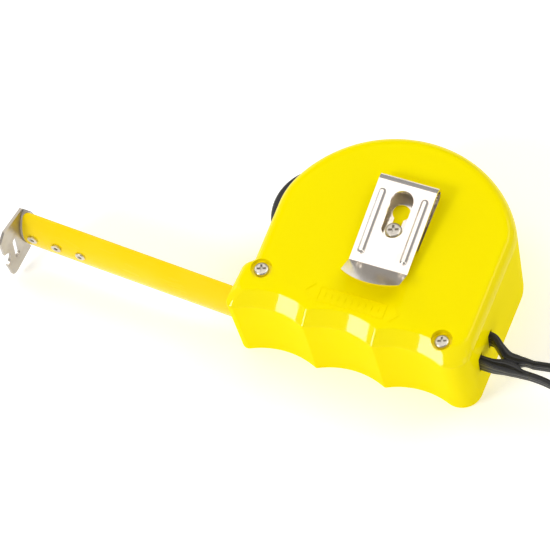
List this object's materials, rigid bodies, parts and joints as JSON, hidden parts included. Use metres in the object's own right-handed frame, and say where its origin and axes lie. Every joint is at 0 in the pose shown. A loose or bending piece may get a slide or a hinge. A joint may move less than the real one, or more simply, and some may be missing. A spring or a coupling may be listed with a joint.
{
  "type": "tape measure",
  "caption": "Pocket tape measure with a scalloped yellow case, partly drawn sprung blade and end hook, thumb lock, belt clip and wrist strap.",
  "frame": {"origin": "centre of the case's round crown, on the front face that the case lies on", "axes": "+Z from the front face to the back face with the belt clip; +X towards the rear of the case, so the blade leaves towards -X; +Y away from the finger grip"},
  "size_m": [0.2542, 0.0746, 0.0401],
  "materials": {
    "case": "glossy bright yellow moulded plastic",
    "label": "blank printed film",
    "nickel": "bright nickel-plated steel",
    "inner_plastic": "black moulded plastic",
    "spring_steel": "blued spring steel",
    "blade": "yellow lacquered spring steel",
    "lock": "dark grey moulded plastic",
    "pad": "black rubber",
    "strap": "dark grey flexible plastic with fine lengthwise lines"
  },
  "bodies": {
    "case": {"back_shell": "case", "front_cover": "case", "front_label": "label", "belt_clip": "nickel", "clip_screw": "nickel", "case_screws": "nickel", "spindle": "inner_plastic", "blade_run": "blade", "wrist_strap": "strap", "strap_loop": "strap"},
    "blade": {"blade_strip": "blade"},
    "rivets": {"hook_rivets": "nickel"},
    "hook": {"end_hook": "nickel"},
    "reel": {"reel_drum": "inner_plastic", "drum_cover": "inner_plastic", "blade_coil": "blade", "power_spring": "spring_steel"},
    "lock": {"lock_button": "lock", "lock_arm": "lock", "lock_pad": "pad"}
  },
  "joints": [
    {"name": "blade_swing", "type": "hinge", "parent": "case", "child": "blade", "pos_m": [-0.0356, -0.02115, 0.01625], "axis": [0, 0, 1], "range_deg": [-0.2, 6.8]},
    {"name": "blade_slide", "type": "slide", "parent": "blade", "child": "rivets", "axis": [-0.9974, 0.0715, 0], "range_m": [-0.064, 0], "deforming": ["blade_strip", "blade_run"]},
    {"name": "hook_play", "type": "slide", "parent": "rivets", "child": "hook", "axis": [-0.9974, 0.0715, 0], "range_m": [0, 0.0008]},
    {"name": "reel_spin", "type": "hinge", "parent": "case", "child": "reel", "pos_m": [0, 0.0046, 0.01625], "axis": [0, 0, 1], "range_deg": [-1, 142], "deforming": ["power_spring"]},
    {"name": "lock_slide", "type": "hinge", "parent": "case", "child": "lock", "pos_m": [0, 0, 0.01625], "axis": [0, 0, 1], "range_deg": [-9, 0]}
  ],
  "couplings": [
    {"joint": "blade_swing", "follows": "blade_slide", "rad_per_m": -1.8},
    {"joint": "reel_spin", "follows": "blade_slide", "rad_per_m": -38.5}
  ]
}
